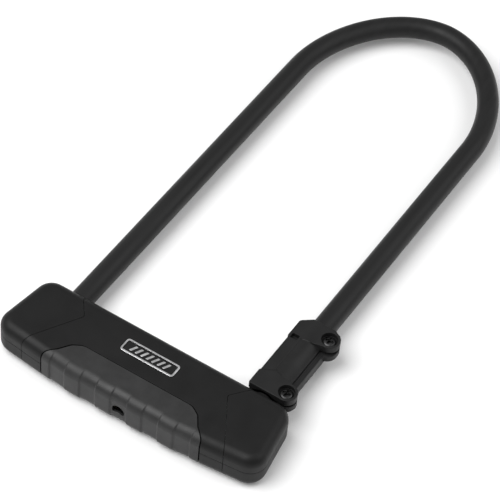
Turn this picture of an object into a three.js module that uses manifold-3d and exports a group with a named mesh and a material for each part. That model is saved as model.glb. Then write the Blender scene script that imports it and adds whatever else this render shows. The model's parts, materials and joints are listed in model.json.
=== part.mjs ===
// A U lock: a hardened shackle that slides into a covered steel crossbar, held there by two bolts that a
// disc-detainer cylinder drives apart, with a carrying bracket clamped on its right leg.
// Millimetres, +Z up. The crossbar runs along X, the shackle legs along +Y, and while the parts are made
// z = 0 is the plane of the shackle's axis and y = 0 is the crossbar's back face.
// At rest the shackle is home and the bolts are drawn back.
import * as THREE from 'three';
import { mergeVertices } from 'three/addons/utils/BufferGeometryUtils.js';
import Module from 'manifold-3d';

const wasm = await Module();
wasm.setup();

// Driving dimensions
const GAP = 0.3;
const FAR = 100;
const SHACKLE = {
  halfWidth: 60.6, legEnd: 233.5, bendHeight: 78.2, bendPower: 1.86, barRadius: 6, barStart: -38,
};
const SLEEVE = { innerRadius: 6.12, outerRadius: 6.65, start: 1.2 };
const BAR = {
  halfBack: 80.6, halfFront: 87, cornerY: -44.5, halfFlat: 37.5, frontY: -49.6, halfHeight: 11.4,
  frontBend: 25,
};
const COVER = { cornerRadius: 10.2, edgeRadius: 6.2, wall: 1.8, partingZ: 1.2 };
const GRIP = { halfWidth: 51.2, backY: -31, front: 1.9, top: 1.1, landWidth: 10.15, landDepth: 0.6 };
const SEAL = { outerRadius: 7.9, innerRadius: 6.3, frontY: -3.2, backY: 0.3, bossRadius: 8.9, bossEnd: -0.5 };
const TUBE = {
  halfLength: 72, frontY: -43.6, backY: -3.6, halfHeight: 8.4, wall: 1.8, cornerRadius: 2.6, legHole: 6.4,
};
const PLUG = { innerX: 67.4, outerX: 71.8, play: 0.6 };
const PIN = { x: 7.2, y: -33, radius: 0.9, lowZ: -8.2, topZ: 5.6 };
const HOUSING = { halfWidth: 9, halfHeight: 6.3, frontY: -45.5, backY: -24.2, bore: 5.4 };
const ROTOR = {
  radius: 5.05, frontY: -45.2, carrierFrontY: -43.4, backY: -24.5, discRadius: 4.3,
  neckRadius: 3.2, neckEnd: -22.9, driveHalf: 1.7, driveEnd: -20.3,
};
const DISC = { count: 6, thickness: 2, spacer: 0.5, play: 0.25, gateHalf: 0.9, gateZ: 3.7 };
const CAM = { radius: 6.1, backY: -22.6, pinRadius: 1.2, socketHalf: 2 };
const CLIP = { outerRadius: 6, innerRadius: 3.5, frontY: -23.9, backY: -23.2, mouthHalf: 2.2 };
const KEYWAY = { centreZ: -0.9, radius: 3.6, floorZ: -2.6 };
const BOLT = {
  frontY: -19.5, backY: -12.5, noseX: 52.8, halfHeight: 4.6, armTop: 6, armLow: 0.5, armEnd: 12,
  pinOffset: 4.6, forkHalf: 1.55, forkWall: 1.7, forkLow: 1.7,
};
const GUIDE = { startX: 24, endX: 38, frontY: -31, slack: 0.35 };
const NOTCH = { depth: 5.2, frontY: -20.2, backY: -11.8 };
const BRACKET = {
  startY: 1.6, endY: 59.6, radius: 9.8, topZ: 9.9, splitZ: 4.85, bore: 8.1,
  earRadius: 6.2, earLow: 5.3, lugTop: 3.9, lugLow: -0.2, lugShift: 1.8,
  cheekX: 57.8, cheekTop: 9.7, flangeX: 72.6, flangeLow: -1.9, flangeTop: 4.1, shelfX: 69,
};
const SLOT = { startX: 52, endX: 56.4, startY: 41.2, endY: 44.6, floorZ: 7.2 };
const SCREW = {
  x: 71, ys: [7.6, 52.2], headRadius: 3.7, shankRadius: 1.5, holeRadius: 1.85,
  wellRadius: 4.75, wellDepth: 3, faceDepth: 1, tipZ: -1.2, slotHalf: 2.3, slotWidth: 1.2, slotDepth: 1.2,
};
const NUT = { halfFlats: 2.2, lowZ: 0, topZ: 2.2 };
const BADGE = { centreX: -1.4, centreY: -16.7, halfLength: 17.6, halfWidth: 4.9, depth: 0.9 };
const CURVE_STEPS = 4;
const ROUND_STEPS = 10;

// Materials

function finish(color, roughness, metalness) {
  return new THREE.MeshStandardMaterial({ color, roughness, metalness });
}

const FINISHES = {
  cover: finish(0x2b2b2c, 0.55, 0),
  grip: finish(0x525253, 0.8, 0),
  sleeve: finish(0x303031, 0.6, 0),
  bracket: finish(0x343435, 0.6, 0),
  rubber: finish(0x1c1c1d, 0.9, 0),
  steel: finish(0x9a9da0, 0.35, 1),
  hardened: finish(0x6f7276, 0.4, 1),
  brass: finish(0xb08d4a, 0.35, 1),
  black: finish(0x202021, 0.45, 0.6),
  silver: finish(0xc9cbcc, 0.3, 1),
};

const lock = new THREE.Group();

// A node keeps its own copy of the finish
function addPart(name, geometry, kind) {
  const mesh = new THREE.Mesh(geometry, FINISHES[kind].clone());
  mesh.name = name;
  lock.add(mesh);
}

// Solid helpers

function solid(geometry) {
  const bare = geometry.clone();
  bare.deleteAttribute('normal');
  bare.deleteAttribute('uv');
  const merged = mergeVertices(bare, 1e-4);
  const mesh = new wasm.Mesh({
    numProp: 3,
    vertProperties: new Float32Array(merged.attributes.position.array),
    triVerts: Uint32Array.from(merged.index.array),
  });
  return new wasm.Manifold(mesh);
}

function geometryOf(body) {
  const mesh = body.getMesh();
  const geometry = new THREE.BufferGeometry();
  geometry.setAttribute('position', new THREE.BufferAttribute(mesh.vertProperties, 3));
  geometry.setIndex(new THREE.BufferAttribute(mesh.triVerts, 1));
  geometry.computeVertexNormals();
  return geometry;
}

function join(bodies) {
  return bodies.reduce((whole, body) => whole.add(body));
}

function addSolid(name, body, kind) {
  addPart(name, geometryOf(body), kind);
}

// A closed outline through the points, each corner rounded by its own radius
function outline(points, radii) {
  const shape = new THREE.Shape();
  points.forEach((point, i) => {
    const corner = new THREE.Vector2(...point);
    const before = new THREE.Vector2(...points.at(i - 1)).sub(corner);
    const after = new THREE.Vector2(...points[(i + 1) % points.length]).sub(corner);
    const radius = Array.isArray(radii) ? radii[i] : radii;
    const half = Math.acos(before.dot(after) / before.length() / after.length()) / 2;
    const reach = radius / Math.tan(half);
    const start = corner.clone().addScaledVector(before, reach / before.length());
    const end = corner.clone().addScaledVector(after, reach / after.length());
    if (i === 0) shape.moveTo(start.x, start.y);
    else shape.lineTo(start.x, start.y);
    if (radius > 0) shape.quadraticCurveTo(corner.x, corner.y, end.x, end.y);
  });
  shape.closePath();
  return shape;
}

function circle(x, y, radius) {
  return new THREE.Shape().absarc(x, y, radius, 0, 2 * Math.PI, false);
}

function rectangle(x0, x1, y0, y1, radius = 0) {
  return outline([[x0, y0], [x1, y0], [x1, y1], [x0, y1]], radius);
}

function extrude(shape, depth, steps = CURVE_STEPS) {
  return new THREE.ExtrudeGeometry(shape, { depth, bevelEnabled: false, curveSegments: steps });
}

// An upright prism: the shape lies in XY
function prismZ(shape, z0, z1, steps) {
  return solid(extrude(shape, z1 - z0, steps).translate(0, 0, z0));
}

// A prism along Y: the shape lies in XZ
function prismY(shape, y0, y1, steps) {
  return solid(extrude(shape, y1 - y0, steps).rotateX(Math.PI / 2).translate(0, y1, 0));
}

function rodZ(x, y, radius, z0, z1) {
  return prismZ(circle(x, y, radius), z0, z1, ROUND_STEPS);
}

function rodY(x, z, radius, y0, y1) {
  return prismY(circle(x, z, radius), y0, y1, ROUND_STEPS);
}

function block(x0, x1, y0, y1, z0, z1) {
  return prismZ(rectangle(x0, x1, y0, y1), z0, z1);
}

// Crossbar covers

// The crossbar's outer form drawn in by side, front and height, with rounded edges
function barForm(side, front, height) {
  const points = [
    [-BAR.halfBack + side, -side],
    [BAR.halfBack - side, -side],
    [BAR.halfFront - side, BAR.cornerY + front / 2],
    [BAR.halfFlat, BAR.frontY + front],
    [-BAR.halfFlat, BAR.frontY + front],
    [-BAR.halfFront + side, BAR.cornerY + front / 2],
  ];
  const corner = COVER.cornerRadius - side;
  const edge = COVER.edgeRadius - height;
  const halfHeight = BAR.halfHeight - height;
  const radii = [corner, corner, corner, BAR.frontBend, BAR.frontBend, corner];
  const geometry = new THREE.ExtrudeGeometry(outline(points, radii), {
    depth: 2 * (halfHeight - edge),
    bevelThickness: edge,
    bevelSize: edge,
    bevelOffset: -edge,
    bevelSegments: 4,
    curveSegments: CURVE_STEPS,
  });
  return solid(geometry.translate(0, 0, -(halfHeight - edge)));
}

// The part of the crossbar that an end cap covers, past its bent seam, grown by a margin
function capRegion(side, margin) {
  const seam = [[66.2, -60], [66.2, -47.5], [62.5, -40.5], [47, -13.8], [54, -5], [57.5, 3]];
  const points = seam.map(([x, y]) => [side * (x - margin), y]);
  return prismZ(outline([...points, [side * FAR, 3], [side * FAR, -60]], 0), -FAR, FAR);
}

// The front of the crossbar that the grip wraps, grown by a margin
function gripRegion(margin) {
  const half = GRIP.halfWidth + margin;
  const back = GRIP.backY + margin;
  const side = [
    [half, -60], [half, -46.5], [half - 6, back - 10], [half - 10.5, back - 3.4], [half - 16, back],
  ];
  const mirrored = side.map(([x, y]) => [-x, y]).reverse();
  const radii = [0, 4, 5, 5, 8, 8, 5, 5, 4, 0];
  return prismZ(outline([...side, ...mirrored], radii), -FAR, FAR);
}

// Key opening: a half-moon with a flat floor, upright in XZ, grown by a margin
function keyShape(margin) {
  const radius = KEYWAY.radius + margin;
  const floor = KEYWAY.floorZ - margin;
  const start = Math.asin((floor - KEYWAY.centreZ) / radius);
  const shape = new THREE.Shape();
  shape.absarc(0, KEYWAY.centreZ, radius, start, Math.PI - start, false);
  shape.closePath();
  return shape;
}

// The key opening cut through the front of the crossbar
function keyHole(margin) {
  return prismY(keyShape(margin), BAR.frontY - 3, -44);
}

function legHoles(radius, y0, y1) {
  return join([-1, 1].map((side) => rodY(side * SHACKLE.halfWidth, 0, radius, y0, y1)));
}

function badgeRecess() {
  const { centreX, centreY, halfLength, halfWidth, depth } = BADGE;
  const shape = rectangle(
    centreX - halfLength, centreX + halfLength, centreY - halfWidth, centreY + halfWidth, 2);
  return prismZ(shape, BAR.halfHeight - depth, BAR.halfHeight + 1);
}

function coverSkin() {
  const bedFront = GRIP.front + GAP;
  const bedHeight = GRIP.top + GAP;
  const wall = COVER.wall;
  const bed = barForm(0.5, bedFront, bedHeight);
  const bosses = legHoles(SEAL.bossRadius, -4, SEAL.bossEnd);
  const hollow = barForm(wall, wall, wall).subtract(gripRegion(2));
  const frontHollow = barForm(wall, bedFront + 1.4, bedHeight + 1.2);
  return barForm(0, 0, 0)
    .subtract(gripRegion(GAP).subtract(bed))
    .add(bosses)
    .subtract(hollow)
    .subtract(frontHollow)
    .subtract(legHoles(SEAL.outerRadius + GAP, -6, 4))
    .subtract(keyHole(0.6))
    .subtract(badgeRecess());
}

function addCovers() {
  const skin = coverSkin();
  const halves = {
    upper: block(-FAR, FAR, -FAR, FAR, COVER.partingZ, FAR),
    lower: block(-FAR, FAR, -FAR, FAR, -FAR, COVER.partingZ - GAP),
  };
  const centre = skin.subtract(capRegion(-1, GAP)).subtract(capRegion(1, GAP));
  for (const [level, half] of Object.entries(halves)) {
    addSolid(`centre_cover_${level}`, centre.intersect(half), 'cover');
    addSolid(`left_cap_${level}`, skin.intersect(capRegion(-1, 0)).intersect(half), 'cover');
    addSolid(`right_cap_${level}`, skin.intersect(capRegion(1, 0)).intersect(half), 'cover');
  }
}

// The grip's front is a row of upright lands, every second one of them set back
function addGrip() {
  const { landWidth, landDepth } = GRIP;
  const inner = barForm(0.5, GRIP.front, GRIP.top);
  const setBack = join([-4, -2, 0, 2, 4].map((step) => block(
    (step - 0.5) * landWidth, (step + 0.5) * landWidth, -FAR, -40, -FAR, FAR)));
  const recess = setBack.subtract(barForm(0, landDepth, 0));
  const body = barForm(0, 0, 0).intersect(gripRegion(0)).subtract(inner).subtract(recess);
  const floor = KEYWAY.floorZ - GAP;
  const bump = prismY(rectangle(-1.6, 1.6, floor - 1, floor + 0.5), BAR.frontY + 0.9, BAR.frontY + 1.7);
  addSolid('grip_pad', body.subtract(keyHole(GAP)).add(bump), 'grip');
}

function addSeals() {
  for (const [name, side] of [['left', -1], ['right', 1]]) {
    const x = side * SHACKLE.halfWidth;
    const ring = rodY(x, 0, SEAL.outerRadius, SEAL.frontY, SEAL.backY);
    addSolid(`${name}_leg_seal`, ring.subtract(rodY(x, 0, SEAL.innerRadius, -10, 5)), 'rubber');
  }
}

function addBadge() {
  const { centreX: x, centreY: y, halfLength, halfWidth } = BADGE;
  const plan = (inset, radius) => rectangle(
    x - halfLength + inset, x + halfLength - inset, y - halfWidth + inset, y + halfWidth - inset, radius);
  const low = BAR.halfHeight - BADGE.depth + 0.1;
  const top = BAR.halfHeight;
  const rim = prismZ(plan(0.3, 1.8), low, top + 0.15).subtract(prismZ(plan(1.4, 1), low - 1, top + 1));
  addSolid('badge_rim', rim, 'silver');
  addSolid('badge_plate', prismZ(plan(1.7, 0.8), low, top - 0.2), 'black');
}

// Steel crossbar

function addTube() {
  const { halfLength, frontY, backY, halfHeight, wall, cornerRadius } = TUBE;
  // the section lies in YZ and runs along X
  const section = (inset, radius) => rectangle(
    frontY + inset, backY - inset, -halfHeight + inset, halfHeight - inset, radius);
  const run = (shape, reach) => solid(
    extrude(shape, 2 * reach).rotateX(Math.PI / 2).rotateZ(Math.PI / 2).translate(-reach, 0, 0));
  const opening = HOUSING.halfWidth + GAP;
  const mouth = HOUSING.halfHeight + 0.1;
  const body = run(section(0, cornerRadius), halfLength)
    .subtract(run(section(wall, 1), halfLength + 5))
    .subtract(legHoles(TUBE.legHole, -8, 0))
    .subtract(block(-opening, opening, -50, -40, -mouth, mouth))
    .subtract(rodZ(PIN.x, PIN.y, PIN.radius + GAP, -12, 0));
  addSolid('crossbar_tube', body, 'steel');
}

function addEndPlugs() {
  const clear = TUBE.wall + GAP;
  for (const [name, side] of [['left', -1], ['right', 1]]) {
    const ends = [side * PLUG.innerX, side * PLUG.outerX].sort((a, b) => a - b);
    const body = block(
      ...ends, TUBE.frontY + clear + PLUG.play, TUBE.backY - clear - PLUG.play,
      -TUBE.halfHeight + clear, TUBE.halfHeight - clear);
    addSolid(`${name}_end_plug`, body, 'steel');
  }
}

// Lock cylinder

function addHousing() {
  const { halfWidth, halfHeight, frontY, backY, bore } = HOUSING;
  const body = prismY(rectangle(-halfWidth, halfWidth, -halfHeight, halfHeight, 2), frontY, backY)
    .subtract(rodY(0, 0, bore, frontY - 1, backY + 1))
    .subtract(rodZ(PIN.x, PIN.y, PIN.radius + GAP, -12, PIN.topZ + GAP));
  addSolid('cylinder_housing', body, 'brass');
  addSolid('retaining_pin', rodZ(PIN.x, PIN.y, PIN.radius, PIN.lowZ, PIN.topZ), 'hardened');
}

function addCarrier() {
  const { radius, carrierFrontY, backY, neckRadius, neckEnd, driveHalf, driveEnd } = ROTOR;
  const body = rodY(0, 0, radius, carrierFrontY, backY)
    .subtract(rodY(0, 0, ROTOR.discRadius + GAP, carrierFrontY - 1, backY - 1))
    .subtract(block(-DISC.gateHalf, DISC.gateHalf, carrierFrontY + 2, backY - 1.4, 3, 7))
    .add(rodY(0, 0, neckRadius, backY - 0.5, neckEnd))
    .add(block(-driveHalf, driveHalf, neckEnd - 0.5, driveEnd, -driveHalf, driveHalf));
  addSolid('disc_carrier', body, 'brass');
  addSolid('sidebar', block(-0.6, 0.6, carrierFrontY + 2.4, backY - 1.8, 4, 4.9), 'hardened');
}

// A round plate with the keyway through it
function keyedPlate(radius, y0, y1) {
  return rodY(0, 0, radius, y0, y1).subtract(prismY(keyShape(0), y0 - 1, y1 + 1));
}

// A keyed plate of the disc pack, with the gate that the sidebar drops into
function gatedPlate(y0, y1) {
  const gate = block(-DISC.gateHalf, DISC.gateHalf, y0 - 1, y1 + 1, DISC.gateZ, ROTOR.radius);
  return keyedPlate(ROTOR.discRadius, y0, y1).subtract(gate);
}

function addDiscs() {
  const { count, thickness, spacer, play } = DISC;
  const pitch = thickness + spacer + 2 * play;
  for (let i = 0; i < count; i += 1) {
    const y = ROTOR.carrierFrontY + GAP + i * pitch;
    addSolid(`detainer_disc_${i + 1}`, gatedPlate(y, y + thickness), 'brass');
    if (i < count - 1) {
      const start = y + thickness + play;
      addSolid(`disc_spacer_${i + 1}`, gatedPlate(start, start + spacer), 'steel');
    }
  }
  addSolid('drill_guard', keyedPlate(ROTOR.radius, ROTOR.frontY, ROTOR.carrierFrontY - GAP), 'hardened');
}

function addCamAndClip() {
  const faceY = BOLT.frontY - 0.4;
  const offset = BOLT.pinOffset * Math.SQRT1_2;
  const body = rodY(0, 0, CAM.radius, CAM.backY, faceY)
    .subtract(block(-CAM.socketHalf, CAM.socketHalf, -FAR, faceY + 1, -CAM.socketHalf, CAM.socketHalf))
    .add(rodY(-offset, offset, CAM.pinRadius, faceY - 1, BOLT.backY - 0.5))
    .add(rodY(offset, -offset, CAM.pinRadius, faceY - 1, BOLT.backY - 0.5));
  addSolid('drive_cam', body, 'hardened');
  const ring = rodY(0, 0, CLIP.outerRadius, CLIP.frontY, CLIP.backY)
    .subtract(rodY(0, 0, CLIP.innerRadius, -FAR, 0))
    .subtract(block(-CLIP.mouthHalf, CLIP.mouthHalf, -FAR, 0, -FAR, 0));
  addSolid('retaining_clip', ring, 'steel');
}

// Bolts

// The right bolt's arm lies above the axis and the left bolt's below it, each with a fork for its cam pin
function addBolts() {
  const pinX = BOLT.pinOffset * Math.SQRT1_2;
  const { frontY, backY, noseX, halfHeight, armTop, armLow, armEnd, forkHalf, forkWall, forkLow } = BOLT;
  for (const [name, side] of [['left', -1], ['right', 1]]) {
    const box = (x0, x1, z0, z1) => block(
      Math.min(side * x0, side * x1), Math.max(side * x0, side * x1), frontY, backY,
      Math.min(side * z0, side * z1), Math.max(side * z0, side * z1));
    const body = box(armEnd, noseX, -halfHeight, halfHeight)
      .add(box(-pinX - forkHalf - forkWall, armEnd + 1, armLow, armTop))
      .subtract(box(-pinX - forkHalf, -pinX + forkHalf, forkLow, armTop + 1));
    addSolid(`${name}_bolt`, body, 'hardened');
  }
}

function addBoltGuides() {
  const clear = TUBE.wall + GAP;
  const { startX, endX, frontY, slack } = GUIDE;
  const halfHeight = TUBE.halfHeight - clear;
  const window = BOLT.halfHeight + slack;
  for (const [name, side] of [['left', -1], ['right', 1]]) {
    const ends = [side * startX, side * endX].sort((a, b) => a - b);
    const body = block(...ends, frontY, TUBE.backY - clear - 0.1, -halfHeight, halfHeight)
      .subtract(block(-FAR, FAR, BOLT.frontY - slack, BOLT.backY + slack, -window, window));
    addSolid(`${name}_bolt_guide`, body, 'steel');
  }
}

// Shackle

// The shackle's centre line: a straight leg, a superellipse bend and the other leg. The steps are spread
// unevenly on purpose: few on the legs, many round the bend.
class ShackleCurve extends THREE.Curve {
  constructor(start) {
    super();
    this.start = start;
  }

  getPoint(t, target = new THREE.Vector3()) {
    const bendStart = 0.1;
    const { halfWidth, legEnd, bendHeight, bendPower } = SHACKLE;
    const side = t < 0.5 ? -1 : 1;
    const near = Math.min(t, 1 - t);
    if (near < bendStart) {
      return target.set(side * halfWidth, this.start + (legEnd - this.start) * near / bendStart, 0);
    }
    const angle = (near - bendStart) / (0.5 - bendStart) * Math.PI / 2;
    const x = side * halfWidth * Math.abs(Math.cos(angle)) ** (2 / bendPower);
    return target.set(x, legEnd + bendHeight * Math.sin(angle) ** (2 / bendPower), 0);
  }

  getPointAt(u, target) {
    return this.getPoint(u, target);
  }

  getTangentAt(u, target) {
    return this.getTangent(u, target);
  }
}

function shackleRun(radius, start) {
  const settings = { steps: 40, curveSegments: 8, extrudePath: new ShackleCurve(start) };
  return solid(new THREE.ExtrudeGeometry(circle(0, 0, radius), settings));
}

function addShackle() {
  const inner = SHACKLE.halfWidth - SHACKLE.barRadius;
  const notch = (side) => {
    const x0 = side > 0 ? inner - 3 : -inner - NOTCH.depth;
    return block(x0, x0 + NOTCH.depth + 3, NOTCH.frontY, NOTCH.backY, -8, 8);
  };
  const bar = shackleRun(SHACKLE.barRadius, SHACKLE.barStart).subtract(notch(-1)).subtract(notch(1));
  addSolid('shackle_bar', bar, 'hardened');
  const sleeve = shackleRun(SLEEVE.outerRadius, SLEEVE.start);
  addSolid('shackle_sleeve', sleeve.subtract(shackleRun(SLEEVE.innerRadius, SLEEVE.start - 1)), 'sleeve');
}

// Carrying bracket

const AXIS_X = SHACKLE.halfWidth;

// The two collars seen from above, each running out into a round ear for its screw
function collarPlans() {
  const left = AXIS_X - 10.3;
  const [lowY, highY] = SCREW.ys;
  const { startY, endY } = BRACKET;
  const low = [
    [left, startY], [left, 12.6], [58.6, 16.9], [63.4, 15.4], [69.6, 14.2], [SCREW.x, lowY + 6],
    [SCREW.x, startY],
  ];
  const high = [
    [left, 40.8], [left, endY - 5.1], [left + 6.4, endY], [70.4, endY], [74.6, highY + 5.1],
    [SCREW.x, highY], [SCREW.x, highY - 6], [64.5, 44.4], [57.1, 43.4],
  ];
  return [outline(low, [0.8, 0.8, 1, 1, 0, 0, 0]), outline(high, [0.8, 2.4, 1.5, 1, 0, 0, 0, 1, 1])];
}

function bracketBore(topZ) {
  const { startY, endY, bore } = BRACKET;
  const round = rodY(AXIS_X, 0, bore, startY - 1, endY + 1);
  return topZ > 0 ? round.add(block(AXIS_X - bore, AXIS_X + bore, startY - 1, endY + 1, 0, topZ)) : round;
}

function screwHoles() {
  return join(SCREW.ys.map((y) => rodZ(SCREW.x, y, SCREW.holeRadius, -20, 20)));
}

function upperBracket() {
  const { startY, endY, radius, topZ, splitZ, earRadius, earLow, cheekX, cheekTop } = BRACKET;
  const ridge = rodY(AXIS_X, 0, radius, startY, endY);
  const cheek = prismY(rectangle(AXIS_X - radius, cheekX, 0, cheekTop, 0.5), startY + 2, endY - 5);
  const collars = join(collarPlans().map((plan) => prismZ(plan, earLow, topZ)));
  const ears = join(SCREW.ys.map((y) => rodZ(SCREW.x, y, earRadius, earLow, topZ)));
  const wellFloor = topZ - SCREW.wellDepth;
  const headWells = join(SCREW.ys.map((y) => rodZ(SCREW.x, y, SCREW.wellRadius, wellFloor, FAR)));
  return join([ridge, cheek, collars, ears])
    .subtract(block(-FAR, FAR, -FAR, FAR, -FAR, splitZ + GAP / 2))
    .subtract(bracketBore(0))
    .subtract(screwHoles())
    .subtract(headWells)
    .subtract(block(SLOT.startX, SLOT.endX, SLOT.startY, SLOT.endY, SLOT.floorZ, FAR));
}

// The cradle under the leg, with a flat-topped flange a small step below a narrow shelf
function lowerBracket() {
  const { startY, endY, radius, splitZ, earRadius, lugTop, lugLow, lugShift } = BRACKET;
  const { flangeX, flangeLow, flangeTop, shelfX } = BRACKET;
  const top = splitZ - GAP / 2;
  const left = AXIS_X - radius;
  const cradle = rodY(AXIS_X, 0, radius, startY, endY);
  const section = [
    [left, flangeLow], [flangeX, flangeLow], [flangeX, flangeTop], [shelfX, flangeTop], [shelfX, top], [left, top],
  ];
  const flange = prismY(outline(section, 0), startY, endY - 1);
  const [lowY, highY] = SCREW.ys;
  const lugs = join([lowY, highY, highY - lugShift].map((y) => rodZ(SCREW.x, y, earRadius, lugLow, lugTop)));
  const nutWells = join(SCREW.ys.map((y) => nutPrism(y, NUT.halfFlats + GAP, -5, NUT.topZ + GAP)));
  return join([cradle, flange, lugs])
    .subtract(block(-FAR, FAR, -FAR, FAR, top, FAR))
    .subtract(bracketBore(top + 1))
    .subtract(screwHoles())
    .subtract(nutWells);
}

function nutPrism(y, halfFlats, z0, z1) {
  const corners = Array.from({ length: 6 }, (_, i) => {
    const angle = i * Math.PI / 3 + Math.PI / 6;
    const reach = halfFlats / Math.cos(Math.PI / 6);
    return [SCREW.x + reach * Math.cos(angle), y + reach * Math.sin(angle)];
  });
  return prismZ(outline(corners, 0), z0, z1);
}

// A pan head with a cross recess on a plain shank
function screwSolid(y) {
  const faceZ = BRACKET.topZ - SCREW.faceDepth;
  const seatZ = BRACKET.topZ - SCREW.wellDepth + GAP;
  const { headRadius, shankRadius, tipZ, slotHalf, slotWidth, slotDepth } = SCREW;
  const profile = [
    [0, tipZ], [shankRadius, tipZ], [shankRadius, seatZ], [headRadius, seatZ],
    [headRadius, faceZ - 0.9], [headRadius - 0.5, faceZ - 0.3], [headRadius - 1.4, faceZ], [0, faceZ],
  ].map(([r, z]) => new THREE.Vector2(r, z));
  const turned = new THREE.LatheGeometry(profile, 24).rotateX(Math.PI / 2).translate(SCREW.x, y, 0);
  const slot = (halfX, halfY) => block(
    SCREW.x - halfX, SCREW.x + halfX, y - halfY, y + halfY, faceZ - slotDepth, FAR);
  return solid(turned).subtract(slot(slotHalf, slotWidth / 2)).subtract(slot(slotWidth / 2, slotHalf));
}

function addBracket() {
  addSolid('bracket_upper', upperBracket(), 'bracket');
  addSolid('bracket_lower', lowerBracket(), 'bracket');
  const { startY, endY, bore } = BRACKET;
  const liner = rodY(AXIS_X, 0, bore - GAP, startY + 0.8, endY - 0.8)
    .subtract(rodY(AXIS_X, 0, SLEEVE.outerRadius + GAP, startY, endY))
    .subtract(block(AXIS_X - 1, AXIS_X + 1, startY, endY, -10, 0));
  addSolid('bracket_liner', liner, 'rubber');
  SCREW.ys.forEach((y, i) => {
    addSolid(`bracket_screw_${i + 1}`, screwSolid(y), 'black');
    const nut = nutPrism(y, NUT.halfFlats, NUT.lowZ, NUT.topZ);
    addSolid(`bracket_nut_${i + 1}`, nut.subtract(screwHoles()), 'steel');
  });
}

addCovers();
addGrip();
addSeals();
addBadge();
addTube();
addEndPlugs();
addHousing();
addCarrier();
addDiscs();
addCamAndClip();
addBolts();
addBoltGuides();
addShackle();
addBracket();

// The lock's own origin is under its middle, on the surface that it lies on
const box = new THREE.Box3().setFromObject(lock);
lock.position.set(-(box.min.x + box.max.x) / 2, -(box.min.y + box.max.y) / 2, -box.min.z);

export default lock;
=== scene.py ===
"""The looks of the U lock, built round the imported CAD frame.

Shapes are worked out in the lock's own millimetres: x along the crossbar, y = 0 at the crossbar's back
face with +y towards the bend, and z = 0 in the plane of the shackle's axis. place() turns them into the
frame's metres.
"""
import json
import math

import bmesh
import bpy
from mathutils import Matrix, Vector


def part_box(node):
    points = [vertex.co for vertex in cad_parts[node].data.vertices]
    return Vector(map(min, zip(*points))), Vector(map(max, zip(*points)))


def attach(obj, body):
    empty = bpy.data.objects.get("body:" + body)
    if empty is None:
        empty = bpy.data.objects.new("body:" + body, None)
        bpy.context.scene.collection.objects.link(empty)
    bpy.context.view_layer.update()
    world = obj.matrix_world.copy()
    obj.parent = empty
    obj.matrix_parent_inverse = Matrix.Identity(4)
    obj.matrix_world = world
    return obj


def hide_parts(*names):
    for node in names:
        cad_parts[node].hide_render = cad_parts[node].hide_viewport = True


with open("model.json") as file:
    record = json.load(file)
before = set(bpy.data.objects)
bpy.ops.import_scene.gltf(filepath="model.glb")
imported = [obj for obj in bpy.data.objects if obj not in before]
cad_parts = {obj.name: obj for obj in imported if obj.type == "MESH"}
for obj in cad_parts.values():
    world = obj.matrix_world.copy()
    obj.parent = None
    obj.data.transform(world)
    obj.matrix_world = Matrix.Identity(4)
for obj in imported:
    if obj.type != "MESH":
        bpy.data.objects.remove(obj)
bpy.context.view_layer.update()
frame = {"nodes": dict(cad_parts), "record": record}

# Places read from the frame

# The CAD's sleeve starts SLEEVE_START past the crossbar's back face.
MM = 0.001
sleeve_low, sleeve_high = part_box("shackle_sleeve")
bar_low, bar_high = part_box("shackle_bar")
SLEEVE_START = 1.2
AXIS_Z = (bar_low.z + bar_high.z) / 2
BACK_Y = sleeve_low.y - SLEEVE_START * MM


def place(x, y, z):
    return Vector((x * MM, BACK_Y + y * MM, AXIS_Z + z * MM))


# Driving dimensions, in the lock's millimetres

SLEEVE_RADIUS = (sleeve_high.z - sleeve_low.z) / MM / 2
BAR_RADIUS = (bar_high.z - bar_low.z) / MM / 2
LEG_X = (sleeve_high.x - sleeve_low.x) / MM / 2 - SLEEVE_RADIUS
APEX_Y = (sleeve_high.y - BACK_Y) / MM - SLEEVE_RADIUS
BAR_START = (bar_low.y - BACK_Y) / MM
BEND_START = 233.5
BEND_POWER = 1.86
HALF_HEIGHT = AXIS_Z / MM
SLEEVE_END = -0.2
SLEEVE_CLEARANCE = 0.12
GAP = 0.3

# Crossbar covers. The far values lie beyond the lock and only serve cutters.
FRONT_Y = -49.6
HALF_BACK = 80.6
HALF_FRONT = 87
CORNER_Y = -44.5
HALF_FLAT = 37.5
CORNER_RADIUS = 10.2
FRONT_BEND_RADIUS = 25
EDGE_RADIUS = 6.2
EDGE_STEPS = 9
WALL = 1.8
PARTING_Z = 1.2
SEAM = 0.2
COVER_EDGE = 0.16
FAR_SIDE = 100
FAR_FRONT = -60
FAR_BACK = 3
FAR_REAR = 10
FAR_Z = 20
CAP_SEAM = [(66.2, FAR_FRONT), (66.2, -47.5), (62.5, -40.5), (47, -13.8), (54, -5), (57.5, FAR_BACK)]
CAP_SEAM_RADII = [0, 3, 6, 2, 3, 0]

# Grip pad. Each corner step is (in from the side, forward of the back edge, radius).
GRIP_HALF = 51.2
GRIP_BACK = -31
GRIP_FRONT = 1.9
GRIP_TOP = 1.1
GRIP_SIDE_GAP = 0.7
GRIP_BACK_GAP = 0.4
GRIP_SIDE_END = -46.5
GRIP_SIDE_RADIUS = 4
GRIP_CORNER_STEPS = [(6, 10, 5), (10.5, 3.4, 5), (16, 0, 8)]
BED_SIDE = 0.5
BED_RIM = 2
BED_WALL_FRONT = 1.4
BED_WALL_TOP = 1.2
LAND_WIDTH = 10.15
LAND_DEPTH = 0.75
LAND_LIMIT_Y = -40
LAND_SPACING = 0.2
LANDS_EACH_SIDE = 5
STEP_SHARPNESS = 9

# Leg seals and the bosses round them
SEAL_RADIUS = 7.9
SEAL_BORE = 6.3
SEAL_ROOT = -3.2
SEAL_TOP = -0.6
SEAL_LIP = 0.6
BOSS_RADIUS = 8.9
BOSS_ROOT = -4
BOSS_END = -1.6
BOSS_EDGE = 0.3

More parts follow.
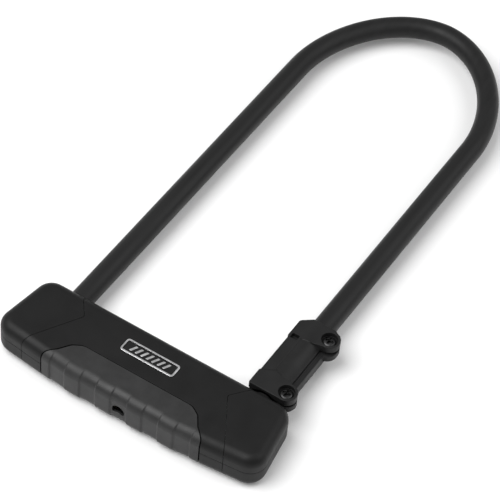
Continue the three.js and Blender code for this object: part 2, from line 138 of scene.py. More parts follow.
# Key opening
KEY_Z = -0.9
KEY_RADIUS = 3.6
KEY_FLOOR = -2.6
KEY_CUT = (-52, -44)
KEY_BUMP_HALF = 2
GRIP_KEY_BUMP = 0.8
GRIP_KEY_MARGIN = 0.35
COVER_KEY_MARGIN = 0.6


# Outlines: lists of (a, b) points in a plane

ARC_STEP = math.radians(7)
NEARLY_STRAIGHT = math.radians(89.5)


def circle(a, b, radius, count=48):
    turns = [2 * math.pi * i / count for i in range(count)]
    return [(a + radius * math.cos(t), b + radius * math.sin(t)) for t in turns]


def outline(points, radii):
    """A closed outline, anticlockwise, with each corner rounded by a true arc of its own radius."""
    corners = [Vector(p) for p in points]
    if not isinstance(radii, (list, tuple)):
        radii = [radii] * len(corners)
    area = sum(a.cross(b) for a, b in zip(corners, corners[1:] + corners[:1]))
    if area < 0:
        corners.reverse()
        radii = list(radii)[::-1]
    result = []
    for i, (corner, radius) in enumerate(zip(corners, radii)):
        before = (corners[i - 1] - corner).normalized()
        after = (corners[(i + 1) % len(corners)] - corner).normalized()
        half = before.angle(after) / 2
        if radius <= 0 or half > NEARLY_STRAIGHT:
            result.append(tuple(corner))
            continue
        start = corner + before * radius / math.tan(half)
        centre = corner + (before + after).normalized() * radius / math.sin(half)
        arm = start - centre
        sweep = math.pi - 2 * half
        if before.cross(after) > 0:
            sweep = -sweep
        steps = max(2, round(abs(sweep) / ARC_STEP))
        for k in range(steps + 1):
            turn = Matrix.Rotation(sweep * k / steps, 2)
            result.append(tuple(centre + turn @ arm))
    return result


def rectangle(a0, a1, b0, b1, radius=0):
    return outline([(a0, b0), (a1, b0), (a1, b1), (a0, b1)], radius)


def inset(points, distance):
    """The outline moved inwards by a distance, with mitred corners."""
    count = len(points)
    moved = []
    for i, point in enumerate(points):
        here = Vector(point)
        along = (here - Vector(points[i - 1])).normalized()
        onward = (Vector(points[(i + 1) % count]) - here).normalized()
        first = Vector((-along.y, along.x))
        second = Vector((-onward.y, onward.x))
        moved.append(tuple(here + (first + second) * distance / (1 + first.dot(second))))
    return moved


# Mesh building

PLANES = {
    "XY": lambda a, b, c: place(a, b, c),
    "XZ": lambda a, b, c: place(a, c, b),
}


def mesh_object(name, rings, wrap=False):
    """Joins rings of places with quads. The ends are closed, or joined to each other with wrap."""
    mesh = bpy.data.meshes.new(name)
    build = bmesh.new()
    rows = [[build.verts.new(point) for point in ring] for ring in rings]
    pairs = list(zip(rows, rows[1:]))
    if wrap:
        pairs.append((rows[-1], rows[0]))
    for low, high in pairs:
        for i in range(len(low)):
            build.faces.new((low[i - 1], low[i], high[i], high[i - 1]))
    if not wrap:
        build.faces.new(rows[0])
        build.faces.new(rows[-1][::-1])
    bmesh.ops.recalc_face_normals(build, faces=build.faces)
    build.to_mesh(mesh)
    build.free()
    obj = bpy.data.objects.new(name, mesh)
    bpy.context.scene.collection.objects.link(obj)
    return obj


def slab(points, low, high, edge=0.0, plane="XY", steps=3, warp=None):
    """A prism of the outline from low to high, with its end edges rounded. A warp moves its (a, b) points."""
    spot = PLANES[plane]
    if edge <= 0:
        levels = [(low, 0), (high, 0)]
    else:
        turns = [math.pi / 2 * k / steps for k in range(steps + 1)]
        curve = [(edge * (1 - math.sin(t)), edge * (1 - math.cos(t))) for t in turns]
        levels = [(low + rise, back) for back, rise in curve]
        levels += [(high - rise, back) for back, rise in reversed(curve)]
    rings = []
    for level, back in levels:
        ring = inset(points, back)
        if warp:
            ring = [warp(a, b) for a, b in ring]
        rings.append([spot(a, b, level) for a, b in ring])
    return mesh_object("slab", rings)


def lathe(profile, centre, plane="XY", count=48, wrap=False):
    """Turns a profile of (radius, position) round an axis square to the plane. It ends in flat faces, or
    closes on itself with wrap."""
    spot = PLANES[plane]
    rings = [[spot(a, b, level) for a, b in circle(*centre, radius, count)] for radius, level in profile]
    return mesh_object("turned", rings, wrap)


def settle(obj):
    """Applies an object's modifiers."""
    graph = bpy.context.evaluated_depsgraph_get()
    mesh = bpy.data.meshes.new_from_object(obj.evaluated_get(graph))
    obj.modifiers.clear()
    old = obj.data
    obj.data = mesh
    bpy.data.meshes.remove(old)
    return obj


def combine(obj, tools, operation):
    for tool in tools:
        step = obj.modifiers.new(operation, "BOOLEAN")
        step.operation = operation
        step.solver = "MANIFOLD"
        step.object = tool
        settle(obj)
        bpy.data.objects.remove(tool)
    return obj


def cut(obj, *tools):
    return combine(obj, tools, "DIFFERENCE")


def fuse(obj, *tools):
    return combine(obj, tools, "UNION")


def keep(obj, *tools):
    return combine(obj, tools, "INTERSECT")


def copy_of(obj):
    twin = obj.copy()
    twin.data = obj.data.copy()
    bpy.context.scene.collection.objects.link(twin)
    return twin


def block(x0, x1, y0, y1, z0, z1):
    return slab(rectangle(x0, x1, y0, y1), z0, z1)


def soften(obj, edge, angle):
    """Rounds the edges sharper than an angle."""
    soft = obj.modifiers.new("edges", "BEVEL")
    soft.width = edge * MM
    soft.segments = 2
    soft.limit_method = "ANGLE"
    soft.angle_limit = math.radians(angle)
    soft.use_clamp_overlap = False
    return settle(obj)


def finish(obj, name, nodes, body, slot, edge=0.0, angle=32):
    """Breaks the sharp edges, smooths the rest, gives the piece its finish, hides the CAD nodes it stands for
    and hangs it on its body.
    """
    obj.name = name
    obj.data.name = name
    if edge:
        soften(obj, edge, angle)
    obj.data.shade_smooth()
    obj.data.set_sharp_from_angle(angle=math.radians(angle))
    weighted = obj.modifiers.new("normals", "WEIGHTED_NORMAL")
    weighted.keep_sharp = True
    obj.data.materials.clear()
    obj.data.materials.append(FINISHES[slot])
    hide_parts(*nodes)
    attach(obj, body)
    return obj


# Materials

def grey(level):
    """A neutral linear colour from a display level between 0 and 255."""
    value = level / 255
    linear = value / 12.92 if value <= 0.04045 else ((value + 0.055) / 1.055) ** 2.4
    return (linear, linear, linear * 1.01, 1)


class Recipe:
    """A Principled material whose colour, roughness and relief come from procedural textures."""

    def __init__(self, name):
        self.material = bpy.data.materials.new(name)
        self.material.use_nodes = True
        self.nodes = self.material.node_tree.nodes
        self.links = self.material.node_tree.links
        self.shader = self.nodes["Principled BSDF"]
        self.coords = self.nodes.new("ShaderNodeTexCoord").outputs["Object"]
        self.height = None

    def mapped(self, stretch):
        node = self.nodes.new("ShaderNodeMapping")
        node.inputs["Scale"].default_value = stretch
        self.links.new(self.coords, node.inputs["Vector"])
        return node.outputs["Vector"]

    def noise(self, scale, detail=3, stretch=(1, 1, 1)):
        node = self.nodes.new("ShaderNodeTexNoise")
        node.inputs["Scale"].default_value = scale
        node.inputs["Detail"].default_value = detail
        self.links.new(self.mapped(stretch), node.inputs["Vector"])
        return node.outputs["Fac"]

    def cells(self, scale):
        node = self.nodes.new("ShaderNodeTexVoronoi")
        node.inputs["Scale"].default_value = scale
        self.links.new(self.mapped((1, 1, 1)), node.inputs["Vector"])
        return node.outputs["Distance"]

    def ramp(self, source, low, high, low_at=0.35, high_at=0.65):
        node = self.nodes.new("ShaderNodeMapRange")
        node.inputs["From Min"].default_value = low_at
        node.inputs["From Max"].default_value = high_at
        node.inputs["To Min"].default_value = low
        node.inputs["To Max"].default_value = high
        self.links.new(source, node.inputs["Value"])
        return node.outputs["Result"]

    def colour(self, source, dark, light, low_at=0.35, high_at=0.65):
        node = self.nodes.new("ShaderNodeMix")
        node.data_type = "RGBA"
        node.inputs["A"].default_value = dark
        node.inputs["B"].default_value = light
        factor = self.ramp(source, 0, 1, low_at, high_at)
        self.links.new(factor, node.inputs["Factor"])
        self.links.new(node.outputs["Result"], self.shader.inputs["Base Color"])

    def roughness(self, source, low, high):
        self.links.new(self.ramp(source, low, high), self.shader.inputs["Roughness"])

    def bump(self, source, distance, strength=1.0):
        node = self.nodes.new("ShaderNodeBump")
        node.inputs["Strength"].default_value = strength
        node.inputs["Distance"].default_value = distance
        self.links.new(source, node.inputs["Height"])
        if self.height:
            self.links.new(self.height, node.inputs["Normal"])
        self.height = node.outputs["Normal"]
        self.links.new(self.height, self.shader.inputs["Normal"])

    def set(self, **values):
        for name, value in values.items():
            self.shader.inputs[name.replace("_", " ")].default_value = value


def moulded(name, dark, light, rough, grain=2600, depth=0.00002):
    """Moulded plastic: a fine spark-eroded grain, faint flow in the colour and rubbed patches."""
    recipe = Recipe(name)
    recipe.colour(recipe.noise(90, detail=6), grey(dark), grey(light))
    recipe.roughness(recipe.noise(55, detail=5), rough - 0.06, rough + 0.06)
    recipe.bump(recipe.noise(grain, detail=2), depth)
    recipe.bump(recipe.noise(260, detail=3), depth * 2, 0.35)
    recipe.set(Specular_IOR_Level=0.21)
    return recipe.material


def rubber(name, dark, light, rough, grain=1900, depth=0.00003):
    """Soft rubber: a matt pebbled skin."""
    recipe = Recipe(name)
    recipe.colour(recipe.noise(160, detail=6), grey(dark), grey(light))
    recipe.roughness(recipe.noise(70, detail=4), rough - 0.05, rough + 0.05)
    recipe.bump(recipe.cells(grain), depth)
    recipe.set(Specular_IOR_Level=0.35)
    return recipe.material


def drawn_vinyl(name, dark, light, rough):
    """Extruded vinyl sleeve: faint drawing lines along the bar and a soft sheen."""
    recipe = Recipe(name)
    recipe.colour(recipe.noise(300, detail=4, stretch=(1, 0.04, 1)), grey(dark), grey(light))
    recipe.roughness(recipe.noise(120, detail=4, stretch=(1, 0.2, 1)), rough - 0.05, rough + 0.05)
    recipe.bump(recipe.noise(1500, detail=2, stretch=(1, 0.03, 1)), 0.000012)
    recipe.bump(recipe.noise(45, detail=3), 0.0001, 0.25)
    recipe.set(Specular_IOR_Level=0.21)
    return recipe.material


def metal(name, dark, light, rough, stretch=(1, 1, 1), tint=(1, 1, 1)):
    """Worked metal: tool lines along one direction and a mottled plating."""
    recipe = Recipe(name)
    shade = [tuple(c * t for c, t in zip(grey(level), tint)) + (1,) for level in (dark, light)]
    recipe.colour(recipe.noise(220, detail=6, stretch=stretch), *shade)
    recipe.roughness(recipe.noise(400, detail=4, stretch=stretch), rough - 0.08, rough + 0.1)
    recipe.bump(recipe.noise(2400, detail=2, stretch=stretch), 0.00001)
    recipe.set(Metallic=1)
    return recipe.material


FINISHES = {
    "cover_plastic": moulded("cover_plastic", 17, 20, 0.46),
    "grip_rubber": rubber("grip_rubber", 33, 39, 0.46),
    "seal_rubber": rubber("seal_rubber", 26, 32, 0.7),
    "badge_metal": metal("badge_metal", 205, 225, 0.32),
    "badge_enamel": moulded("badge_enamel", 22, 26, 0.3, 1200, 0.000004),
    "bar_steel": metal("bar_steel", 175, 200, 0.34, (0.05, 1, 1)),
    "hardened_steel": metal("hardened_steel", 130, 160, 0.36, (1, 0.05, 1)),
    "cylinder_brass": metal("cylinder_brass", 190, 215, 0.3, (1, 0.1, 1), (1, 0.78, 0.42)),
    "sleeve_vinyl": drawn_vinyl("sleeve_vinyl", 24, 29, 0.46),
    "bracket_plastic": moulded("bracket_plastic", 24, 29, 0.47),
    "screw_black": metal("screw_black", 50, 70, 0.33),
}


# Crossbar covers

def finely_spaced(points, spacing):
    """The outline with the sides of its front split into short steps."""
    dense = []
    for i, point in enumerate(points):
        here, onward = Vector(point), Vector(points[(i + 1) % len(points)])
        on_front = here.y < CORNER_Y and onward.y < CORNER_Y
        count = max(1, round((onward - here).length / spacing)) if on_front else 1
        dense += [tuple(here.lerp(onward, k / count)) for k in range(count)]
    return dense


def set_back(x, y):
    """Moves every second upright land of the front back, behind short steep steps."""
    if y > LAND_LIMIT_Y or abs(x) >= LANDS_EACH_SIDE * LAND_WIDTH:
        return x, y
    wave = math.cos(math.pi * x / LAND_WIDTH)
    return x, y + LAND_DEPTH * (0.5 + 0.5 * math.tanh(STEP_SHARPNESS * wave))


def bar_form(side=0.0, front=0.0, height=0.0, lands=False):
    """The crossbar's rounded outer form, drawn in by side, front and height."""
    points = [
        (-HALF_BACK + side, -side),
        (-HALF_FRONT + side, CORNER_Y + front / 2),
        (-HALF_FLAT, FRONT_Y + front),
        (HALF_FLAT, FRONT_Y + front),
        (HALF_FRONT - side, CORNER_Y + front / 2),
        (HALF_BACK - side, -side),
    ]
    corner = CORNER_RADIUS - side
    plan = outline(points, [corner, corner, FRONT_BEND_RADIUS, FRONT_BEND_RADIUS, corner, corner])
    reach = HALF_HEIGHT - height
    edge = EDGE_RADIUS - height
    if lands:
        return slab(finely_spaced(plan, LAND_SPACING), -reach, reach, edge, steps=EDGE_STEPS, warp=set_back)
    return slab(plan, -reach, reach, edge, steps=EDGE_STEPS)


def cap_region(side, margin):
    """The space that an end cap fills, on one side, grown towards the middle by a margin."""
    points = [(side * (x - margin), y) for x, y in CAP_SEAM]
    points += [(side * FAR_SIDE, FAR_BACK), (side * FAR_SIDE, FAR_FRONT)]
    return slab(outline(points, CAP_SEAM_RADII + [0, 0]), -FAR_Z, FAR_Z)


def grip_region(side=0.0, rear=0.0):
    """The space that the grip pad fills, grown sideways and to the rear."""
    half = GRIP_HALF + side
    back = GRIP_BACK + rear
    right = [(half, FAR_FRONT), (half, GRIP_SIDE_END)]
    right += [(half - inward, back - forward) for inward, forward, radius in GRIP_CORNER_STEPS]
    left = [(-x, y) for x, y in reversed(right)]
    radii = [0, GRIP_SIDE_RADIUS] + [radius for inward, forward, radius in GRIP_CORNER_STEPS]
    return slab(outline(right + left, radii + radii[::-1]), -FAR_Z, FAR_Z)


def key_outline(margin, bump=0.0):
    """A half-moon with a flat floor, in XZ. A bump rises from the middle of its floor."""
    radius = KEY_RADIUS + margin
    floor = KEY_FLOOR - margin
    start = math.asin((floor - KEY_Z) / radius)
    turns = [start + (math.pi - 2 * start) * k / 24 for k in range(25)]
    points = [(radius * math.cos(t), KEY_Z + radius * math.sin(t)) for t in turns]
    if bump:
        rise = [math.pi * k / 10 for k in range(1, 10)]
        points += [(-KEY_BUMP_HALF * math.cos(t), floor + bump * math.sin(t)) for t in rise]
    return points


def leg_rods(radius, start, end, edge=0.0):
    return [slab(circle(side * LEG_X, 0, radius), start, end, edge, "XZ") for side in (-1, 1)]


BADGE = {"x": -1.4, "y": -16.7, "half_length": 17.6, "half_width": 4.9, "depth": 0.9, "corner": 2}


def badge_outline(inward, radius):
    x, y = BADGE["x"], BADGE["y"]
    length, width = BADGE["half_length"] - inward, BADGE["half_width"] - inward
    return rectangle(x - length, x + length, y - width, y + width, radius)


def cover_skin():
    bed_front = GRIP_FRONT + GAP
    bed_height = GRIP_TOP + GAP
    skin = fuse(bar_form(), *leg_rods(BOSS_RADIUS, BOSS_ROOT, BOSS_END, BOSS_EDGE))
    groove = cut(grip_region(GRIP_SIDE_GAP, GRIP_BACK_GAP), bar_form(BED_SIDE, bed_front, bed_height))
    hollow = cut(bar_form(WALL, WALL, WALL), grip_region(BED_RIM, BED_RIM))
    front_hollow = bar_form(WALL, bed_front + BED_WALL_FRONT, bed_height + BED_WALL_TOP)
    key = slab(key_outline(COVER_KEY_MARGIN), *KEY_CUT, plane="XZ")
    badge = slab(badge_outline(0, BADGE["corner"]), HALF_HEIGHT - BADGE["depth"], HALF_HEIGHT + 1)
    leg_holes = leg_rods(SEAL_RADIUS + GAP, BOSS_ROOT - 2, FAR_BACK + 1)
    return cut(skin, groove, hollow, front_hollow, key, badge, *leg_holes)


def build_covers():
    skin = cover_skin()
    centre = cut(copy_of(skin), cap_region(-1, SEAM), cap_region(1, SEAM))
    left = keep(copy_of(skin), cap_region(-1, 0))
    right = keep(skin, cap_region(1, 0))
    for part, stem in ((centre, "centre_cover"), (left, "left_cap"), (right, "right_cap")):
        for level, low, high in (("upper", PARTING_Z, FAR_Z), ("lower", -FAR_Z, PARTING_Z - SEAM)):
            shell = keep(copy_of(part), block(-FAR_SIDE, FAR_SIDE, FAR_FRONT, FAR_REAR, low, high))
            node = f"{stem}_{level}"
            finish(shell, f"{node}_shell", [node], "lock_body", "cover_plastic", edge=COVER_EDGE)
        bpy.data.objects.remove(part)


def build_grip():
    pad = keep(bar_form(lands=True), grip_region())
    key = slab(key_outline(GRIP_KEY_MARGIN, GRIP_KEY_BUMP), *KEY_CUT, plane="XZ")
    cut(pad, bar_form(BED_SIDE, GRIP_FRONT, GRIP_TOP), key)
    finish(pad, "grip_pad_moulding", ["grip_pad"], "lock_body", "grip_rubber", angle=60)


def build_seals():
    low, high, inner, outer, lip = SEAL_ROOT, SEAL_TOP, SEAL_BORE, SEAL_RADIUS, SEAL_LIP
    profile = [
        (inner + lip, low), (outer, low), (outer, high - lip), (outer - 0.2, high - 0.15),
        (outer - lip, high), (inner + lip, high), (inner + 0.15, high - 0.25), (inner, high - lip),
        (inner, low + lip),
    ]
    for name, side in (("left", -1), ("right", 1)):
        ring = lathe(profile, (side * LEG_X, 0), "XZ", 64, wrap=True)
        finish(ring, f"{name}_leg_seal_ring", [f"{name}_leg_seal"], "lock_body", "seal_rubber")


# Badge pieces. Heights are measured from the cover's top.
RIM = {"outside": 0.3, "outside_corner": 1.8, "inside": 1.4, "inside_corner": 1, "rise": 0.15}
RIM_EDGES = (0.2, 0.08)
PLATE = {"outside": 1.7, "corner": 0.8, "top": -0.2, "edge": 0.1}
BARS = {"count": 7, "pitch": 3.6, "lean": 1.1, "half_width": 0.75, "half_height": 2.1, "corner": 0.25}
BAR_LEVELS = (-0.35, 0.02)
BAR_EDGE = 0.1


def build_badge():
    """A bright rim round a dark plate that carries a plain row of leaning bars."""
    low = HALF_HEIGHT - BADGE["depth"] + 0.1
    outside = badge_outline(RIM["outside"], RIM["outside_corner"])
    rim = slab(outside, low, HALF_HEIGHT + RIM["rise"], RIM_EDGES[0])
    cut(rim, slab(badge_outline(RIM["inside"], RIM["inside_corner"]), low - 1, HALF_HEIGHT + 1))
    finish(rim, "badge_rim_frame", ["badge_rim"], "lock_body", "badge_metal", edge=RIM_EDGES[1])
    plan = badge_outline(PLATE["outside"], PLATE["corner"])
    plate = slab(plan, low, HALF_HEIGHT + PLATE["top"], PLATE["edge"])
    finish(plate, "badge_plate_inlay", ["badge_plate"], "lock_body", "badge_enamel")
    count, pitch, lean = BARS["count"], BARS["pitch"], BARS["lean"]
    half_width, half_height = BARS["half_width"], BARS["half_height"]
    bottom, top = (HALF_HEIGHT + level for level in BAR_LEVELS)
    y = BADGE["y"]
    for i in range(count):
        x = BADGE["x"] + (i - (count - 1) / 2) * pitch
        corners = [
            (x - half_width - lean, y - half_height), (x + half_width - lean, y - half_height),
            (x + half_width + lean, y + half_height), (x - half_width + lean, y + half_height),
        ]
        bar = slab(outline(corners, BARS["corner"]), bottom, top, BAR_EDGE)
        finish(bar, f"badge_bar_{i + 1}", [], "lock_body", "badge_metal")


# Shackle

def shackle_line(start, bend_steps=96):
    """The shackle's centre line and its outward direction in plan, from one leg end to the other."""
    height = APEX_Y - BEND_START
    points = [(-LEG_X, start), (-LEG_X, start + 0.5)]
    legs = 12
    points += [(-LEG_X, start + (BEND_START - start) * k / legs) for k in range(1, legs)]
    for k in range(bend_steps + 1):
        turn = math.pi * k / bend_steps
        across = math.cos(turn)
        x = -LEG_X * math.copysign(abs(across) ** (2 / BEND_POWER), across)
        points.append((x, BEND_START + height * math.sin(turn) ** (2 / BEND_POWER)))
    half = len(points) - bend_steps - 1
    points += [(-x, y) for x, y in reversed(points[:half])]
    line = []
    for i, point in enumerate(points):
        ahead = Vector(points[min(i + 1, len(points) - 1)])
        behind = Vector(points[max(i - 1, 0)])
        along = (ahead - behind).normalized()
        line.append((Vector(point), Vector((-along.y, along.x)), along))
    return line


def ring_at(spot, outward, radius, along=None, shift=0.0, count=48):
    centre = spot + along * shift if along else spot
    ring = []
    for i in range(count):
        turn = 2 * math.pi * i / count
        side = centre + outward * (radius * math.cos(turn))
        ring.append(place(side.x, side.y, radius * math.sin(turn)))
    return ring


def build_sleeve():
    line = shackle_line(SLEEVE_END)
    inner = BAR_RADIUS + SLEEVE_CLEARANCE
    lip = 0.25
    outer_rings = [ring_at(s, o, SLEEVE_RADIUS) for s, o, a in line[1:-1]]
    inner_rings = [ring_at(s, o, inner) for s, o, a in line]
    first, last = line[0], line[-1]
    start = [
        ring_at(first[0], first[1], SLEEVE_RADIUS - lip),
        ring_at(first[0], first[1], SLEEVE_RADIUS, first[2], lip),
    ]
    end = [
        ring_at(last[0], last[1], SLEEVE_RADIUS, last[2], -lip),
        ring_at(last[0], last[1], SLEEVE_RADIUS - lip),
    ]
    tube = mesh_object("sleeve", start + outer_rings + end + inner_rings[::-1], wrap=True)
    finish(tube, "shackle_sleeve_tube", ["shackle_sleeve"], "shackle", "sleeve_vinyl", angle=50)


NOTCH = {"start": -20.2, "end": -11.8, "depth": 5.2, "corner": 0.6, "reach": 8}


def build_bar():
    line = shackle_line(BAR_START)
    lead = 1.4
    rings = [ring_at(line[0][0], line[0][1], BAR_RADIUS - lead)]
    rings.append(ring_at(line[0][0], line[0][1], BAR_RADIUS, line[0][2], lead))
    rings += [ring_at(s, o, BAR_RADIUS) for s, o, a in line[2:-2]]
    rings.append(ring_at(line[-1][0], line[-1][1], BAR_RADIUS, line[-1][2], -lead))
    rings.append(ring_at(line[-1][0], line[-1][1], BAR_RADIUS - lead))
    bar = mesh_object("bar", rings)
    inner = LEG_X - BAR_RADIUS
    for side in (-1, 1):
        reach = sorted((side * (inner - 3), side * (inner + NOTCH["depth"])))
        notch = rectangle(*reach, NOTCH["start"], NOTCH["end"], NOTCH["corner"])
        cut(bar, slab(notch, -NOTCH["reach"], NOTCH["reach"]))
    finish(bar, "shackle_bar_forging", ["shackle_bar"], "shackle", "hardened_steel", edge=0.2, angle=40)


# Carrying bracket

BRACKET = {"start": 1.6, "end": 59.6, "radius": 9.8, "top": 9.9, "split": 4.85, "bore": 8.1, "ear": 6.2}
BRACKET_EDGE = 0.25  # on the finished halves; the others are on the shapes they are fused from
BODY_EDGE = 0.4
RIB_EDGE = 0.3
PLATE_EDGE = 0.35
BRACKET_SIDES = 30
COLLAR_LEFT = LEG_X - 10.3
EAR_LOW = 5.3
LUG = {"low": -0.2, "top": 3.9, "shift": 1.8}
CHEEK = {"side": 57.8, "top": 9.7, "corner": 0.6}
LIP = {"side": 68.9, "low": 4, "top": 5.7, "corner": 0.35}
RIB_START = BRACKET["start"] + 2
RIB_END = BRACKET["end"] - 5
SLOT = (52, 56.4, 41.2, 44.6)  # x and y limits
SLOT_FLOOR = 7.2
FLANGE = {"low": -1.9, "low_side": 72.6, "top": 4.1, "top_side": 72.1, "shelf": 69}
SCREW_X = 71
SCREW_YS = (7.6, 52.2)
WELL_RADIUS = 4.75
WELL_DEPTH = 3
HOLE_RADIUS = 1.85
SCREW = {"sunk": 1.1, "dome": 1, "head": 3.7, "shank": 1.5, "tip": -1.2, "chamfer": 0.4, "edge": 0.06}
CROSS = {"reach": 2.4, "half_width": 0.75, "corner": 0.2, "depth": 1.4, "point": 1.1, "point_depth": 2.8}
NUT = {"half_flats": 2.2, "height": 2.2, "edge": 0.3, "cut": 5}


def collar_outlines():
    """The plans of the two flat collars, each with a screw ear at its right end."""
    left = COLLAR_LEFT
    low_y, high_y = SCREW_YS
    start, end = BRACKET["start"], BRACKET["end"]
    low = [
        (left, start), (left, 12.6), (58.6, 16.9), (63.4, 15.4), (69.6, 14.2), (SCREW_X, low_y + 6),
        (SCREW_X, start),
    ]
    high = [
        (left, 40.8), (left, end - 5.1), (left + 6.4, end), (70.4, end), (74.6, high_y + 5.1),
        (SCREW_X, high_y), (SCREW_X, high_y - 6), (64.5, 44.4), (57.1, 43.4),
    ]
    return [outline(low, [0.8, 0.8, 1, 1, 0, 0, 0]), outline(high, [0.8, 2.4, 1.5, 1, 0, 0, 0, 1, 1])]


def bracket_body():
    return slab(circle(LEG_X, 0, BRACKET["radius"], 96), BRACKET["start"], BRACKET["end"], BODY_EDGE, "XZ")


def bracket_space(low, high):
    """A block round the whole bracket, between two heights."""
    start, end = BRACKET["start"] - 1, BRACKET["end"] + 1
    return block(LEG_X - BRACKET_SIDES, LEG_X + BRACKET_SIDES, start, end, low, high)


def bracket_bore(top=None):
    """The leg's hole, open upwards to a top if there is one."""
    start, end, bore = BRACKET["start"] - 1, BRACKET["end"] + 1, BRACKET["bore"]
    rod = slab(circle(LEG_X, 0, bore, 64), start, end, plane="XZ")
    if top is None:
        return rod
    return fuse(rod, block(LEG_X - bore, LEG_X + bore, start, end, 0, top))


def screw_holes():
    return [slab(circle(SCREW_X, y, HOLE_RADIUS), -FAR_Z, FAR_Z) for y in SCREW_YS]


def upper_bracket():
    top = BRACKET["top"]
    cheek = rectangle(LEG_X - BRACKET["radius"], CHEEK["side"], 0, CHEEK["top"], CHEEK["corner"])
    lip = rectangle(LEG_X, LIP["side"], LIP["low"], LIP["top"], LIP["corner"])
    body = fuse(bracket_body(), *[slab(rib, RIB_START, RIB_END, RIB_EDGE, "XZ") for rib in (cheek, lip)])
    for plan in collar_outlines():
        fuse(body, slab(plan, EAR_LOW, top, PLATE_EDGE))
    for y in SCREW_YS:
        fuse(body, slab(circle(SCREW_X, y, BRACKET["ear"], 64), EAR_LOW, top, PLATE_EDGE))
        cut(body, slab(circle(SCREW_X, y, WELL_RADIUS, 64), top - WELL_DEPTH, top + 1))
    below = bracket_space(-FAR_Z, BRACKET["split"] + GAP / 2)
    return cut(body, below, bracket_bore(), block(*SLOT, SLOT_FLOOR, FAR_Z), *screw_holes())


def nut_outline(y, half_flats):
    reach = half_flats / math.cos(math.pi / 6)
    turns = [math.pi / 6 + math.pi / 3 * i for i in range(6)]
    return [(SCREW_X + reach * math.cos(t), y + reach * math.sin(t)) for t in turns]


def flange_outline(top):
    """The flange in XZ: a flat top a small step below the shelf beside the body, and a leaning side."""
    left = LEG_X - BRACKET["radius"]
    corners = [
        (left, FLANGE["low"]), (FLANGE["low_side"], FLANGE["low"]), (FLANGE["top_side"], FLANGE["top"]),
        (FLANGE["shelf"], FLANGE["top"]), (FLANGE["shelf"], top), (left, top),
    ]
    return outline(corners, [1, 0.5, 0.5, 0, 0.2, 0])


def lug_outlines():
    """The lower lugs in plan. The one at the far screw is drawn out towards the near screw."""
    near_y, far_y = SCREW_YS
    ear = BRACKET["ear"]
    almost_half = ear - 0.01
    long_lug = rectangle(SCREW_X - ear, SCREW_X + ear, far_y - LUG["shift"] - ear, far_y + ear, almost_half)
    return [circle(SCREW_X, near_y, ear, 64), long_lug]


def lower_bracket():
    top = BRACKET["split"] - GAP / 2
    flange = slab(flange_outline(top), BRACKET["start"], BRACKET["end"] - 1, RIB_EDGE, "XZ")
    lugs = [slab(plan, LUG["low"], LUG["top"], PLATE_EDGE) for plan in lug_outlines()]
    body = fuse(bracket_body(), flange, *lugs)
    cut(body, bracket_space(top, FAR_Z), bracket_bore(top + 1))
    wells = [slab(nut_outline(y, NUT["half_flats"] + GAP), -NUT["cut"], NUT["height"] + GAP) for y in SCREW_YS]
    return cut(body, *wells, *screw_holes())


def screw_profile(face):
    """Half of the screw's section, from the tip of its shank to the edge of its domed face."""
    seat = BRACKET["top"] - WELL_DEPTH + GAP
    head, shank, tip = SCREW["head"], SCREW["shank"], SCREW["tip"]
    rim = face - SCREW["dome"]
    turns = [math.pi / 2 * k / 9 for k in range(9)]
    dome = [(head * math.cos(t), rim + SCREW["dome"] * math.sin(t)) for t in turns]
    chamfer = SCREW["chamfer"]
    return [(shank - chamfer, tip), (shank, tip + chamfer), (shank, seat), (head, seat)] + dome


def build_screws():
    face = BRACKET["top"] - SCREW["sunk"]
    reach, half_width = CROSS["reach"], CROSS["half_width"]
    for i, y in enumerate(SCREW_YS):
        screw = lathe(screw_profile(face), (SCREW_X, y))
        for half_x, half_y in ((reach, half_width), (half_width, reach)):
            arm = rectangle(SCREW_X - half_x, SCREW_X + half_x, y - half_y, y + half_y, CROSS["corner"])
            cut(screw, slab(arm, face - CROSS["depth"], face + 1))
        cut(screw, slab(circle(SCREW_X, y, CROSS["point"]), face - CROSS["point_depth"], face + 1))
        node = f"bracket_screw_{i + 1}"
        finish(screw, f"{node}_turned", [node], "shackle", "screw_black", edge=SCREW["edge"])
        nut = slab(nut_outline(y, NUT["half_flats"]), 0, NUT["height"], NUT["edge"])
        cut(nut, slab(circle(SCREW_X, y, HOLE_RADIUS), -NUT["cut"], NUT["cut"]))
        node = f"bracket_nut_{i + 1}"
        finish(nut, f"{node}_hex", [node], "shackle", "bar_steel")


def build_bracket():
    for half, build in (("upper", upper_bracket), ("lower", lower_bracket)):
        node = f"bracket_{half}"
        finish(build(), f"{node}_moulding", [node], "shackle", "bracket_plastic", edge=BRACKET_EDGE)
    build_screws()


# Everything inside keeps its CAD shape and gets its finish

def dress_cad_nodes():
    slots = {part["node"]: part["material_slot"] for part in frame["record"]["subparts"]}
    for node, obj in frame["nodes"].items():
        obj.data.materials.clear()
        obj.data.materials.append(FINISHES[slots[node]])


# Stage, in metres

FLOOR = {"size": 8, "drop": 0.0004, "dark": 0.87, "light": 0.89, "rough": 0.9}
WORLD_STRENGTH = 0.45
LIGHTS = {
    "key": {"at": (-0.5, -0.6, 1.3), "size": 1.4, "watts": 23},
    "fill": {"at": (0.9, 0.5, 1.1), "size": 1.5, "watts": 7.5},
}
CAMERA = {"azimuth": 28.51, "elevation": 48.59, "roll": 5.53, "distance": 1.3348, "sensor": 36, "lens": 168.1}
CAMERA_AIM = place(-4.07, 89.12, 0)


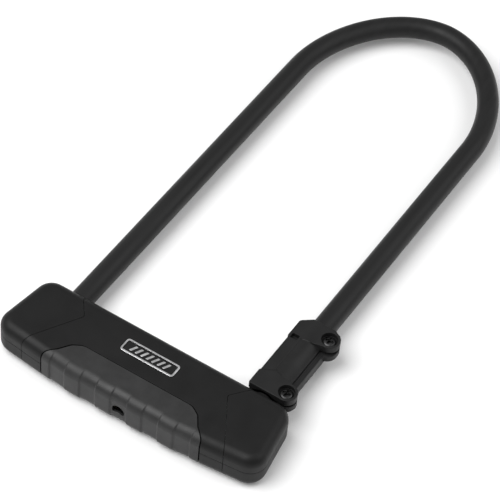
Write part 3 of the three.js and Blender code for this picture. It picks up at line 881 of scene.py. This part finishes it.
def build_floor():
    bpy.ops.mesh.primitive_plane_add(size=FLOOR["size"], location=(0, 0, -FLOOR["drop"]))
    floor = bpy.context.object
    floor.name = "floor"
    recipe = Recipe("floor")
    dark, light = ((FLOOR[tone],) * 3 + (1,) for tone in ("dark", "light"))
    recipe.colour(recipe.noise(3, detail=2), dark, light)
    recipe.set(Roughness=FLOOR["rough"])
    floor.data.materials.append(recipe.material)


def build_lights():
    world = bpy.data.worlds.new("world")
    world.use_nodes = True
    background = world.node_tree.nodes["Background"]
    background.inputs["Color"].default_value = (1, 1, 1, 1)
    background.inputs["Strength"].default_value = WORLD_STRENGTH
    bpy.context.scene.world = world
    for name, facts in LIGHTS.items():
        data = bpy.data.lights.new(name, "AREA")
        data.shape = "DISK"
        data.size = facts["size"]
        data.energy = facts["watts"]
        lamp = bpy.data.objects.new(name, data)
        lamp.location = facts["at"]
        lamp.rotation_euler = (-Vector(facts["at"])).to_track_quat("-Z", "Y").to_euler()
        bpy.context.scene.collection.objects.link(lamp)
    bpy.context.scene.view_settings.view_transform = "Standard"


def build_camera():
    azimuth, elevation, roll = (math.radians(CAMERA[name]) for name in ("azimuth", "elevation", "roll"))
    level = math.cos(elevation)
    back = Vector((math.sin(azimuth) * level, -math.cos(azimuth) * level, math.sin(elevation)))
    right = (-back).cross(Vector((0, 0, 1))).normalized()
    up = right.cross(-back)
    tilted_right = right * math.cos(roll) + up * math.sin(roll)
    tilted_up = up * math.cos(roll) - right * math.sin(roll)
    data = bpy.data.cameras.new("camera")
    data.sensor_width = CAMERA["sensor"]
    data.lens = CAMERA["lens"]
    data.clip_end = 20
    camera = bpy.data.objects.new("camera", data)
    basis = Matrix((tilted_right, tilted_up, back)).transposed()
    camera.matrix_world = Matrix.Translation(CAMERA_AIM + back * CAMERA["distance"]) @ basis.to_4x4()
    bpy.context.scene.collection.objects.link(camera)
    bpy.context.scene.camera = camera


dress_cad_nodes()
build_covers()
build_grip()
build_seals()
build_badge()
build_sleeve()
build_bar()
build_bracket()
build_floor()
build_lights()
build_camera()
